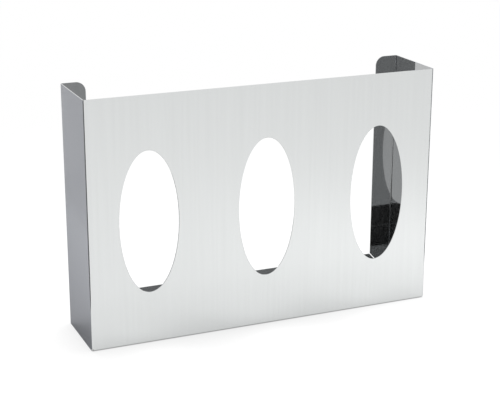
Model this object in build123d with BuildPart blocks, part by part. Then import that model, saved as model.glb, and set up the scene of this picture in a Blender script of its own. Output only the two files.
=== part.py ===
"""Wall dispenser for three upright cartons of disposable gloves, folded from one sheet of stainless steel.

One blank gives the front panel with its three oval openings, the two side walls, the floor, the two rear
returns that lie against the wall and the rear lip that stiffens the floor. All the folds have the same
radius. The top is open, so that a carton drops in, and so is the back between the returns.

Frame: millimetres, +Z up, front panel facing -Y, wall side facing +Y. The origin is the centre of the
underside of the outer box.
"""

from build123d import *

import os

# Outer box of the folded body
width = 385.0
depth = 81.0
height = 260.0

# Sheet and folds
sheet = 1.0
inside_bend = 1.0
seam_gap = 0.3  # between the floor's cut edge and the side wall beside it

# Rear returns, rear lip and the mitred corners between them
side_return = 26.0
rear_lip = 28.5
return_corner = 10.0  # rounding of each return's free top corner
mitre_gap = 0.8

# Oval openings, one in front of each carton
bay_count = 3
opening_width = 63.0
plain_below = 55.0  # plain sheet below each opening
plain_above = 56.0  # and above it
edge_break = 0.2  # flare that takes the sharpness off an opening's cut edge, on both faces

# Screw holes for the wall
screw_hole = 5.5
upper_hole_drop = 38.0  # from the top edge down to the holes in the returns

# Sizes that follow from those above
outside_bend = inside_bend + sheet
half_width = width / 2
half_depth = depth / 2
floor_width = width - 2 * (sheet + seam_gap)
bay_width = width / bay_count
opening_height = height - plain_below - plain_above
opening_centre = plain_below + opening_height / 2
return_centres = width - side_return  # from one return's middle to the other's
flare = min(edge_break, sheet / 3)

front_face = Plane.XZ.offset(half_depth)  # out of the front, with x to the right and y up
wall_face = Plane.XZ.offset(-half_depth)  # the same axes, on the face against the wall


def mitre_waste(off_return):
    """Corners of what the mitre takes off the return or off the lip, drawn on the wall face for the +X side.

    The mitre runs from where the top of the lip meets the return's free edge, down to the corner of the box,
    and half of its gap comes off each of the two.
    """
    lip_end = Vector(half_width - side_return, rear_lip)
    box_corner = Vector(half_width, 0)
    along = (box_corner - lip_end).normalized()
    outward = Vector(along.Y, -along.X) if off_return else Vector(-along.Y, along.X)
    reach = side_return + rear_lip
    start = lip_end - along * reach - outward * (mitre_gap / 2)
    end = box_corner + along * reach - outward * (mitre_gap / 2)
    return [start, end, end + outward * reach, start + outward * reach]


# Front panel, side walls and rear returns: one horizontal section, as tall as the box
with BuildPart() as wrap:
    with BuildSketch(Plane.XY):
        with BuildLine():
            FilletPolyline(
                (side_return - half_width, half_depth),
                (-half_width, half_depth),
                (-half_width, -half_depth),
                (half_width, -half_depth),
                (half_width, half_depth),
                (half_width - side_return, half_depth),
                radius=outside_bend,
            )
            offset(amount=sheet, side=Side.LEFT)
        make_face()
    extrude(amount=height)

    # The front panel and its two upright folds stop where the floor's fold begins
    with BuildSketch(front_face):
        with Locations((0, outside_bend / 2)):
            Rectangle(width, outside_bend)
    extrude(amount=-outside_bend, mode=Mode.SUBTRACT)

    # Each return is mitred against the lip, through its fold to the side wall
    with BuildSketch(wall_face):
        with BuildLine():
            Polyline(*mitre_waste(off_return=True), close=True)
        make_face()
        mirror(about=Plane.YZ)
    extrude(amount=outside_bend, mode=Mode.SUBTRACT)

    # Free top corners of the returns
    top_ends = wrap.edges().filter_by(Axis.Y).group_by(Axis.Z)[-1].group_by(Axis.Y)[-1]
    fillet(top_ends, radius=min(return_corner, side_return / 2))

# Floor, with its fold to the front panel and the rear lip: one section from front to back
with BuildPart() as tray:
    with BuildSketch(Plane.YZ):
        with BuildLine():
            FilletPolyline(
                (-half_depth, 2 * outside_bend),
                (-half_depth, 0),
                (half_depth, 0),
                (half_depth, rear_lip),
                radius=outside_bend,
            )
            offset(amount=sheet, side=Side.LEFT)
        make_face()
    extrude(amount=floor_width / 2, both=True)

    # Relief at each front corner, where the front fold ends with the flat of the front panel
    with BuildSketch(Plane.XY):
        with Locations((0, -half_depth)):
            with GridLocations(width, 0, 2, 1):
                Rectangle(2 * outside_bend, 2 * outside_bend)
    extrude(amount=height, mode=Mode.SUBTRACT)

    # The lip is mitred against each return
    with BuildSketch(wall_face):
        with BuildLine():
            Polyline(*mitre_waste(off_return=False), close=True)
        make_face()
        mirror(about=Plane.YZ)
    extrude(amount=outside_bend, mode=Mode.SUBTRACT)

# What one oval opening takes out of the sheet: straight in the middle and flared towards both faces
with BuildPart() as oval:
    for inset, growth in ((0, flare), (flare, 0), (sheet - flare, 0), (sheet, flare)):
        with BuildSketch(Plane.XY.offset(-inset)):
            Ellipse(opening_width / 2 + growth, opening_height / 2 + growth)
    loft(ruled=True)

with BuildPart() as body:
    add(wrap.part)
    add(tray.part)

    # Oval openings in the front panel
    with Locations(front_face):
        with Locations((0, opening_centre)):
            with GridLocations(bay_width, 0, bay_count, 1):
                add(oval.part, mode=Mode.SUBTRACT)

    # Screw holes: two high in the returns, and two in the lip between one carton and the next
    with BuildSketch(wall_face):
        with Locations((0, height - upper_hole_drop)):
            with GridLocations(return_centres, 0, 2, 1):
                Circle(screw_hole / 2)
        with Locations((0, rear_lip / 2)):
            with GridLocations(bay_width, 0, bay_count - 1, 1):
                Circle(screw_hole / 2)
    extrude(amount=sheet, mode=Mode.SUBTRACT)

os.makedirs("parts", exist_ok=True)
body.part.label = "dispenser_body"
export_step(body.part, "parts/dispenser_body.step")
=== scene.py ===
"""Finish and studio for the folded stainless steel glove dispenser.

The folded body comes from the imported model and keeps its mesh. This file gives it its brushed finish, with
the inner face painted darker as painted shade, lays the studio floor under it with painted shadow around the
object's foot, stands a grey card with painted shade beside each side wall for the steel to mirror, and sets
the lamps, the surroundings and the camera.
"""

import math

import bpy
from mathutils import Matrix, Vector


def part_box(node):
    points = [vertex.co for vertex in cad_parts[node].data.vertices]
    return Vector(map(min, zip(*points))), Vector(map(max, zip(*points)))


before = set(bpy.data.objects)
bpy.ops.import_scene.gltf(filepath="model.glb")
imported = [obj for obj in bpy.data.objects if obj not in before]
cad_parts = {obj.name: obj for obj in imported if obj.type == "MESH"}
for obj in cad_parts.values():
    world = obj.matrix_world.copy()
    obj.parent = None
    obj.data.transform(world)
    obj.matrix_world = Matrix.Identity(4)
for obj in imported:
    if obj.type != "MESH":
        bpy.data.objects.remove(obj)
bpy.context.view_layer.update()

bl_info = {
    "name": "Glove Dispenser",
    "version": (1, 0, 0),
    "blender": (4, 5, 0),
    "location": "View3D > Sidebar > Dispenser",
    "description": "Brushed finish and studio for a folded steel glove dispenser",
    "category": "Object",
}

BODY_NODE = "dispenser_body"
BODY_LOW, BODY_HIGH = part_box(BODY_NODE)
MM = 0.001
WHITE = (1.0, 1.0, 1.0, 1.0)
BLACK = (0.0, 0.0, 0.0, 1.0)

# Steel
METALLIC = 0.95
TONE_SPREAD = 0.03  # how far the colour drifts to either side of the steel's own
GRAIN_SWING = 0.08  # how much the roughness varies from line to line of the grain
DRIFT_SWING = 0.03  # how much it varies slowly along the sheet
DRIFT_CELLS = (0.12, 0.12, 0.3)  # cells of the slow drift for each cell of the grain
NOISE_MIDDLE = 0.5
GRAIN_DETAIL = 3.0
DRIFT_DETAIL = 2.0
LEVEL = 0.7  # a face whose normal points up or down by more than this lies flat

# Floor
FLOOR_HALF = 6.0  # from the middle of the floor to each of its sides
FLOOR_DROP = 0.2 * MM  # keeps the paper clear of the object's underside
PAPER_GREY = 0.86  # the paper's colour for the light that it sends back to the object
END_FADE = 0.5  # share of the faint shade that is missing at the object's two ends
# The painted contact shadow on the floor starts this far inside the object's outline
CONTACT_INSET = 2.0 * MM  # how far inside the outline the front's round fold leaves the paper

# Cards: grey sheets with painted shade, seen only in the steel's reflections
CARD_GAP = 0.2 * MM  # between a card's foot and the wall beside it
CARD_LIFT = 0.1 * MM  # from the object's underside up to a card's foot
CARD_HEIGHT = 350.0 * MM
CARD_FRONT = -140.0 * MM  # where the upright parts begin, in front of the front panel
LEFT_CARD_BACK = 600.0 * MM
RIGHT_CARD_BACK = 200.0 * MM
CARD_TINT = (0.98, 0.99, 1.06)
# Painted shade on each card: darker along its foot by the wall, and towards its front end
FOOT_SHADE = 0.46  # how much darker a card is where its foot meets the wall
FADE_BACK = 60.0 * MM  # where a card begins to darken towards its front end
FADE_FRONT = -50.0 * MM  # where it is darkest

# Lamps: the side of each square lamp, where it hangs and the point that it faces
LAMP_SPREAD = math.radians(100.0)
KEY_SIDE = 0.7
KEY_PLACE = (0.0, 0.12, 1.2)
KEY_TARGET = (0.0, -0.4, 0.0)
CORNER_SIDE = 0.2
CORNER_PLACE = (0.32, -0.21, 0.4)
CORNER_TARGET = (0.28, -0.19, 0.0)

SENSOR_WIDTH = 36.0


# ---------------------------------------------------------------- shader building

class Signal:
    """One output socket of a shader. Python's operators on it add Math nodes."""

    def __init__(self, board, socket):
        self.board = board
        self.socket = socket

    def math(self, operation, first, second=0.0):
        return self.board.add("ShaderNodeMath", {"operation": operation}, {0: first, 1: second})

    def __add__(self, other):
        return self.math("ADD", self, other)

    def __radd__(self, other):
        return self.math("ADD", other, self)

    def __sub__(self, other):
        return self.math("SUBTRACT", self, other)

    def __rsub__(self, other):
        return self.math("SUBTRACT", other, self)

    def __mul__(self, other):
        return self.math("MULTIPLY", self, other)

    def __rmul__(self, other):
        return self.math("MULTIPLY", other, self)

    def __truediv__(self, other):
        return self.math("DIVIDE", self, other)

    def __gt__(self, other):
        return self.math("GREATER_THAN", self, other)

    def __pow__(self, other):
        return self.math("POWER", self, other)

    def __abs__(self):
        return self.math("ABSOLUTE", self)

    def at_least(self, other):
        return self.math("MAXIMUM", self, other)

    def at_most(self, other):
        return self.math("MINIMUM", self, other)


class Board:
    """The node tree of one material or world, emptied and ready for new nodes."""

    def __init__(self, owner):
        owner.use_nodes = True
        self.tree = owner.node_tree
        self.tree.nodes.clear()

    def add(self, kind, settings=None, inputs=None, output=0):
        """Adds a node of any kind, with its settings set before its sockets, and returns one output."""
        node = self.tree.nodes.new(kind)
        for name, value in (settings or {}).items():
            setattr(node, name, value)
        for name, value in (inputs or {}).items():
            if isinstance(value, Signal):
                self.tree.links.new(value.socket, node.inputs[name])
            else:
                node.inputs[name].default_value = value
        return Signal(self, node.outputs[output]) if node.outputs else node

    def place(self, axes):
        """Where the shaded point lies along each of the axes."""
        point = self.add("ShaderNodeTexCoord", output="Object")
        return [self.add("ShaderNodeSeparateXYZ", {}, {0: point}, output=axis) for axis in axes]

    def blend(self, factor, first, second):
        """A colour between two colours."""
        return self.add("ShaderNodeMix", {"data_type": "RGBA"}, {0: factor, 6: first, 7: second}, output=2)

    def noise(self, place, detail):
        """A smooth random value between 0 and 1 at a place given in cells of the noise."""
        return self.add("ShaderNodeTexNoise", {}, {"Vector": place, "Scale": 1.0, "Detail": detail})

    def matt(self, inputs):
        """A surface without any gloss."""
        glossless = {"Roughness": 1.0, "Specular IOR Level": 0.0}
        return self.add("ShaderNodeBsdfPrincipled", {}, {**glossless, **inputs})


def grey(level):
    """An opaque grey."""
    return (level, level, level, 1.0)


# ---------------------------------------------------------------- settings

class SteelSettings(bpy.types.PropertyGroup):
    tint: bpy.props.FloatVectorProperty(
        name="Outer colour", description="Colour of the steel's brushed outer face",
        subtype="COLOR", size=3, min=0.0, max=1.0, default=(0.666, 0.68, 0.678))
    # The inner face's colour is painted darker than the outer's, as painted shade for the dim inside of the
    # box
    inner_shaded_tint: bpy.props.FloatVectorProperty(
        name="Inner colour",
        description="Colour of the steel's inner face, as dark as a dim room would make it look",
        subtype="COLOR", size=3, min=0.0, max=1.0, default=(0.458, 0.466, 0.47))
    outer_roughness: bpy.props.FloatProperty(
        name="Outer roughness", description="Softness of the reflections in the brushed outer face",
        subtype="FACTOR", min=0.0, max=1.0, default=0.14)
    inner_roughness: bpy.props.FloatProperty(
        name="Inner roughness", description="Softness of the reflections in the smooth inner face",
        subtype="FACTOR", min=0.0, max=1.0, default=0.03)
    outer_bend: bpy.props.FloatProperty(
        name="Outer bend", description="Outside radius of the folds",
        unit="LENGTH", default=2.0 * MM)
    sheet: bpy.props.FloatProperty(
        name="Sheet", description="Thickness of the folded sheet",
        unit="LENGTH", default=1.0 * MM)
    grain_width: bpy.props.FloatProperty(
        name="Grain width", description="Width of one line of the brushed grain",
        unit="LENGTH", default=0.4 * MM)
    grain_length: bpy.props.FloatProperty(
        name="Grain length", description="Length of one line of the brushed grain",
        unit="LENGTH", default=45.0 * MM)
    grain_depth: bpy.props.FloatProperty(
        name="Grain depth", description="Height of the grain above its hollows",
        unit="LENGTH", default=0.004 * MM)


class StudioSettings(bpy.types.PropertyGroup):
    camera_place: bpy.props.FloatVectorProperty(
        name="Camera place", description="Where the camera stands", subtype="TRANSLATION",
        unit="LENGTH", size=3, default=(-0.52136, -1.21252, 0.54285))
    camera_heading: bpy.props.FloatProperty(
        name="Heading", description="Turn of the camera from the back wall's direction to its right",
        subtype="ANGLE", default=math.radians(23.189))
    camera_dip: bpy.props.FloatProperty(
        name="Dip", description="How far the camera looks down",
        subtype="ANGLE", default=math.radians(17.853))
    camera_roll: bpy.props.FloatProperty(
        name="Roll", description="Turn of the camera about its own line of sight",
        subtype="ANGLE", default=math.radians(0.17))
    lens: bpy.props.FloatProperty(
        name="Lens", description="Focal length on a sensor 36 mm wide, in millimetres",
        min=10.0, max=300.0, default=93.68)
    key_power: bpy.props.FloatProperty(
        name="Key light", description="Power of the large lamp above the front",
        unit="POWER", min=0.0, default=3.2)
    surround_strength: bpy.props.FloatProperty(
        name="Surroundings", description="Light of the surroundings on everything that isn't shiny",
        min=0.0, default=0.75)
    # The faint shade and the contact line are painted shadow in the floor's glow, drawn from the object's
    # outline
    shade_reach: bpy.props.FloatProperty(
        name="Shade reach", description="Width of the faint shade around the object's foot",
        unit="LENGTH", default=0.09)
    shade_depth: bpy.props.FloatProperty(
        name="Shade depth", description="How dark the faint shade is",
        subtype="FACTOR", min=0.0, max=1.0, default=0.2)
    contact_shadow_reach: bpy.props.FloatProperty(
        name="Contact reach", description="Width of the dark line where the object meets the floor",
        unit="LENGTH", default=0.0025)
    contact_shadow_depth: bpy.props.FloatProperty(
        name="Contact depth", description="How dark the line is where the object meets the floor",
        subtype="FACTOR", min=0.0, max=1.0, default=0.8)
    paper_glow: bpy.props.FloatProperty(
        name="Paper glow",
        description="Share of the floor's white that doesn't darken in the object's shadow",
        subtype="FACTOR", min=0.0, max=1.0, default=0.775)
    paper_shade: bpy.props.FloatProperty(
        name="Paper shade", description="Share of the floor's white that the light and the shadow fall on",
        subtype="FACTOR", min=0.0, max=1.0, default=0.3)
    left_card_grey: bpy.props.FloatProperty(
        name="Left card grey", description="How pale the card is that stands beside the left wall",
        subtype="FACTOR", min=0.0, max=1.0, default=0.575)
    right_card_grey: bpy.props.FloatProperty(
        name="Right card grey", description="How pale the card is that stands beside the right wall",
        subtype="FACTOR", min=0.0, max=1.0, default=0.75)
    # Painted shade: a card's front end is darker, and its foot darkens towards the wall
    card_front_shade: bpy.props.FloatProperty(
        name="Card front", description="How much darker a card's front end is than the rest of it",
        subtype="FACTOR", min=0.0, max=1.0, default=0.84)
    card_foot: bpy.props.FloatProperty(
        name="Card foot", description="Width of a card's foot, over which it darkens towards the wall",
        unit="LENGTH", default=0.11)
    corner_power: bpy.props.FloatProperty(
        name="Corner light", description="Power of the small lamp over the floor before the right corner",
        unit="POWER", min=0.0, default=0.3)


# ---------------------------------------------------------------- finish

def outer_face(x, y, z, settings):
    """1 on the outer face of the folded sheet and 0 on its inner face, through the folds as well.

    The outer face is a box with rounded edges, open at the top, and the inner face lies one sheet inside it.
    """
    bend = settings.outer_bend
    past_x = (abs(x) - (BODY_HIGH.x - bend)).at_least(0.0)
    past_y = (abs(y) - (BODY_HIGH.y - bend)).at_least(0.0)
    past_z = (BODY_LOW.z + bend - z).at_least(0.0)
    reach = (past_x ** 2.0 + past_y ** 2.0 + past_z ** 2.0) ** 0.5
    return reach > bend - settings.sheet / 2


def brushed_steel(settings):
    """Bare stainless sheet. Its outer face is brushed, and its inner face is smoother, with its colour
    painted darker as painted shade for the dim inside of the box.
    """
    material = bpy.data.materials.new("brushed_steel")
    board = Board(material)
    x, y, z = board.place("XYZ")
    outer = outer_face(x, y, z, settings)

    # The grain runs up the walls, and from front to back on the floor
    facing = board.add("ShaderNodeTexCoord", output="Normal")
    flat = abs(board.add("ShaderNodeSeparateXYZ", {}, {0: facing}, output="Z")) > LEVEL
    across = 1.0 / settings.grain_width
    along = 1.0 / settings.grain_length
    grain_place = board.add("ShaderNodeCombineXYZ", {}, {
        0: x * across,
        1: y * (flat * along + (1.0 - flat) * across),
        2: z * (flat * across + (1.0 - flat) * along),
    })
    grain = board.noise(grain_place, GRAIN_DETAIL)
    drift_place = board.add(
        "ShaderNodeVectorMath", {"operation": "MULTIPLY"}, {0: grain_place, 1: DRIFT_CELLS})
    drift = board.noise(drift_place, DRIFT_DETAIL)

    def drifting(tint):
        """A colour that turns a little darker and lighter along the sheet."""
        darker = tuple(min(1.0, (1.0 - TONE_SPREAD) * c) for c in tint) + (1.0,)
        lighter = tuple(min(1.0, (1.0 + TONE_SPREAD) * c) for c in tint) + (1.0,)
        return board.blend(drift, darker, lighter)

    # Painted shade: the inner face takes the darker inner colour
    colour = board.blend(outer, drifting(settings.inner_shaded_tint), drifting(settings.tint))
    swing = GRAIN_SWING * (grain - NOISE_MIDDLE) + DRIFT_SWING * (drift - NOISE_MIDDLE)
    roughness = outer * (settings.outer_roughness + swing) + (1.0 - outer) * settings.inner_roughness
    bump = board.add("ShaderNodeBump", {}, {
        "Strength": 1.0, "Distance": settings.grain_depth, "Height": grain * outer})
    shader = board.add("ShaderNodeBsdfPrincipled", {}, {
        "Base Color": colour, "Metallic": METALLIC, "Roughness": roughness, "Normal": bump})
    board.add("ShaderNodeOutputMaterial", {}, {"Surface": shader})
    return material


class DISPENSER_OT_finish_body(bpy.types.Operator):
    """Give the folded body its brushed stainless finish, with painted shade darkening its inner face"""

    bl_idname = "dispenser.finish_body"
    bl_label = "Finish the Folded Body"

    def execute(self, context):
        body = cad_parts[BODY_NODE]
        if not body.material_slots:
            raise RuntimeError(f"{BODY_NODE} has no material slot for its finish")
        steel = brushed_steel(context.scene.dispenser_steel)
        for slot in body.material_slots:
            slot.material = steel
        return {"FINISHED"}


# ---------------------------------------------------------------- stage

def white_to(board):
    """1 for what sees the background as white: the camera, and rays off shiny or through clear things."""
    rays = ("Is Camera Ray", "Is Glossy Ray", "Is Transmission Ray")
    camera, glossy, clear = (board.add("ShaderNodeLightPath", output=ray) for ray in rays)
    return (camera + glossy + clear).at_most(1.0)


def outline_gap(x, y, inset):
    """How far a point of the floor lies outside the object's outline, drawn that far inside its sides."""
    off_x = (abs(x) - (BODY_HIGH.x - inset)).at_least(0.0)
    off_y = (abs(y) - (BODY_HIGH.y - inset)).at_least(0.0)
    return (off_x ** 2.0 + off_y ** 2.0) ** 0.5


def studio_paper(studio):
    """Pale matt paper. The camera, shiny things and clear things all see it white, with the object's shadow.

    Close to where the object stands, shadow is painted into the white from the object's outline: a faint
    shade over a wide strip, and a deep painted contact shadow in the narrow line where the sheet meets the
    paper.
    """
    material = bpy.data.materials.new("studio_paper")
    board = Board(material)
    white = white_to(board)
    x, y = board.place("XY")
    # Painted shadow: the floor's glow darkens near the object's outline, less at its two ends, and deeply in
    # the contact line
    ends = (x / BODY_HIGH.x) ** 2.0
    nearness = (1.0 - outline_gap(x, y, 0.0) / studio.shade_reach).at_least(0.0)
    faint = studio.shade_depth * (1.0 - END_FADE * ends) * nearness ** 2.0
    painted_contact_shadow = (1.0 - outline_gap(x, y, CONTACT_INSET) / studio.contact_shadow_reach).at_least(0.0)
    unshaded = (1.0 - faint) * (1.0 - studio.contact_shadow_depth * painted_contact_shadow)
    paper = board.matt({
        "Base Color": board.blend(white, grey(PAPER_GREY), grey(studio.paper_shade)),
        "Emission Color": board.blend(white * unshaded, BLACK, WHITE),
        "Emission Strength": studio.paper_glow,
    })
    board.add("ShaderNodeOutputMaterial", {}, {"Surface": paper})
    return material


def card_paper(studio, level):
    """Matt grey card with painted shade: it darkens across its foot towards the wall, and towards its front
    end.
    """
    material = bpy.data.materials.new("card_paper")
    board = Board(material)
    x, y = board.place("XY")
    foot = (1.0 - (abs(x) - BODY_HIGH.x) / studio.card_foot).at_least(0.0)
    front = ((FADE_BACK - y) / (FADE_BACK - FADE_FRONT)).at_least(0.0).at_most(1.0)
    shade = (1.0 - FOOT_SHADE * foot) * (1.0 - studio.card_front_shade * front * (1.0 - foot))
    full = tuple(level * c for c in CARD_TINT) + (1.0,)
    card = board.matt({"Base Color": board.blend(shade, BLACK, full)})
    board.add("ShaderNodeOutputMaterial", {}, {"Surface": card})
    return material


class DISPENSER_OT_set_stage(bpy.types.Operator):
    """Lay the floor, stand the cards, and set the surroundings, the lamps and the camera"""

    bl_idname = "dispenser.set_stage"
    bl_label = "Set the Stage"

    def execute(self, context):
        scene = context.scene
        studio = scene.dispenser_studio
        scene.view_settings.view_transform = "Standard"
        self.lay_floor(scene, studio)
        self.stand_cards(scene, studio)
        self.set_surroundings(scene, studio)
        self.hang_lamps(scene, studio)
        self.set_camera(scene, studio)
        return {"FINISHED"}

    def lay_floor(self, scene, studio):
        half = FLOOR_HALF
        mesh = bpy.data.meshes.new("studio_floor")
        corners = [(-half, -half, 0), (half, -half, 0), (half, half, 0), (-half, half, 0)]
        mesh.from_pydata(corners, [], [(0, 1, 2, 3)])
        mesh.materials.append(studio_paper(studio))
        floor = bpy.data.objects.new("studio_floor", mesh)
        floor.location.z = BODY_LOW.z - FLOOR_DROP
        scene.collection.objects.link(floor)

    def stand_cards(self, scene, studio):
        self.stand_card(scene, studio, "left_card", -1.0, studio.left_card_grey, LEFT_CARD_BACK)
        self.stand_card(scene, studio, "right_card", 1.0, studio.right_card_grey, RIGHT_CARD_BACK)

    def stand_card(self, scene, studio, name, side, level, back):
        """A folded grey card beside one side wall, where only reflections show it. Its grey stands in for
        shade on the floor beside the wall, as painted shade in the steel's reflections.

        Its foot lies on the floor beside the wall, and its upright part reaches a little way in front of it.
        """
        near = side * (BODY_HIGH.x + CARD_GAP)
        far = side * (BODY_HIGH.x + studio.card_foot)
        front = BODY_LOW.y
        low = BODY_LOW.z + CARD_LIFT
        high = low + CARD_HEIGHT
        foot = [(near, front, low), (far, front, low), (far, back, low), (near, back, low)]
        upright = [(far, CARD_FRONT, low), (far, back, low), (far, back, high), (far, CARD_FRONT, high)]
        mesh = bpy.data.meshes.new(name)
        mesh.from_pydata(foot + upright, [], [(0, 1, 2, 3), (4, 5, 6, 7)])
        mesh.materials.append(card_paper(studio, level))
        card = bpy.data.objects.new(name, mesh)
        card.visible_camera = False
        card.visible_diffuse = False
        card.visible_shadow = False
        scene.collection.objects.link(card)

    def set_surroundings(self, scene, studio):
        world = bpy.data.worlds.new("studio_surroundings")
        scene.world = world
        board = Board(world)
        white = white_to(board)
        strength = white + (1.0 - white) * studio.surround_strength
        background = board.add("ShaderNodeBackground", {}, {"Color": WHITE, "Strength": strength})
        board.add("ShaderNodeOutputWorld", {}, {"Surface": background})

    def hang_lamps(self, scene, studio):
        self.hang_lamp(scene, "key_lamp", studio.key_power, KEY_SIDE, KEY_PLACE, KEY_TARGET)
        self.hang_lamp(scene, "corner_lamp", studio.corner_power, CORNER_SIDE, CORNER_PLACE, CORNER_TARGET)

    def hang_lamp(self, scene, name, power, side, place, target):
        """A square soft lamp. Only what it lights is seen, and the lamp itself isn't mirrored."""
        lamp = bpy.data.lights.new(name, "AREA")
        lamp.shape = "SQUARE"
        lamp.size = side
        lamp.energy = power
        lamp.spread = LAMP_SPREAD
        holder = bpy.data.objects.new(name, lamp)
        holder.location = place
        holder.visible_glossy = False
        holder.rotation_euler = (Vector(target) - holder.location).to_track_quat("-Z", "Y").to_euler()
        scene.collection.objects.link(holder)

    def set_camera(self, scene, studio):
        heading, dip, roll = studio.camera_heading, studio.camera_dip, studio.camera_roll
        outward = math.cos(dip)
        ahead = Vector((math.sin(heading) * outward, math.cos(heading) * outward, -math.sin(dip)))
        level = Vector((math.cos(heading), -math.sin(heading), 0.0))
        over = level.cross(ahead)
        right = math.cos(roll) * level + math.sin(roll) * over
        above = right.cross(ahead)
        turn = Matrix((right, above, -ahead)).transposed().to_4x4()
        lens = bpy.data.cameras.new("studio_camera")
        lens.lens = studio.lens
        lens.sensor_width = SENSOR_WIDTH
        camera = bpy.data.objects.new("studio_camera", lens)
        camera.matrix_world = Matrix.Translation(studio.camera_place) @ turn
        scene.collection.objects.link(camera)
        scene.camera = camera


# ---------------------------------------------------------------- add-on

class DISPENSER_PT_panel(bpy.types.Panel):
    """The dispenser's finish and studio, in the sidebar"""

    bl_idname = "DISPENSER_PT_panel"
    bl_label = "Glove Dispenser"
    bl_space_type = "VIEW_3D"
    bl_region_type = "UI"
    bl_category = "Dispenser"

    def draw(self, context):
        layout = self.layout
        for group in (context.scene.dispenser_steel, context.scene.dispenser_studio):
            box = layout.box()
            for name in group.__annotations__:
                box.prop(group, name)
        for operator in OPERATORS:
            layout.operator(operator.bl_idname)


OPERATORS = (DISPENSER_OT_finish_body, DISPENSER_OT_set_stage)
CLASSES = (SteelSettings, StudioSettings) + OPERATORS + (DISPENSER_PT_panel,)


def register():
    for cls in CLASSES:
        bpy.utils.register_class(cls)
    bpy.types.Scene.dispenser_steel = bpy.props.PointerProperty(type=SteelSettings)
    bpy.types.Scene.dispenser_studio = bpy.props.PointerProperty(type=StudioSettings)


def unregister():
    del bpy.types.Scene.dispenser_studio
    del bpy.types.Scene.dispenser_steel
    for cls in reversed(CLASSES):
        bpy.utils.unregister_class(cls)


def main():
    register()
    bpy.ops.dispenser.finish_body()
    bpy.ops.dispenser.set_stage()


if __name__ == "__main__":
    main()
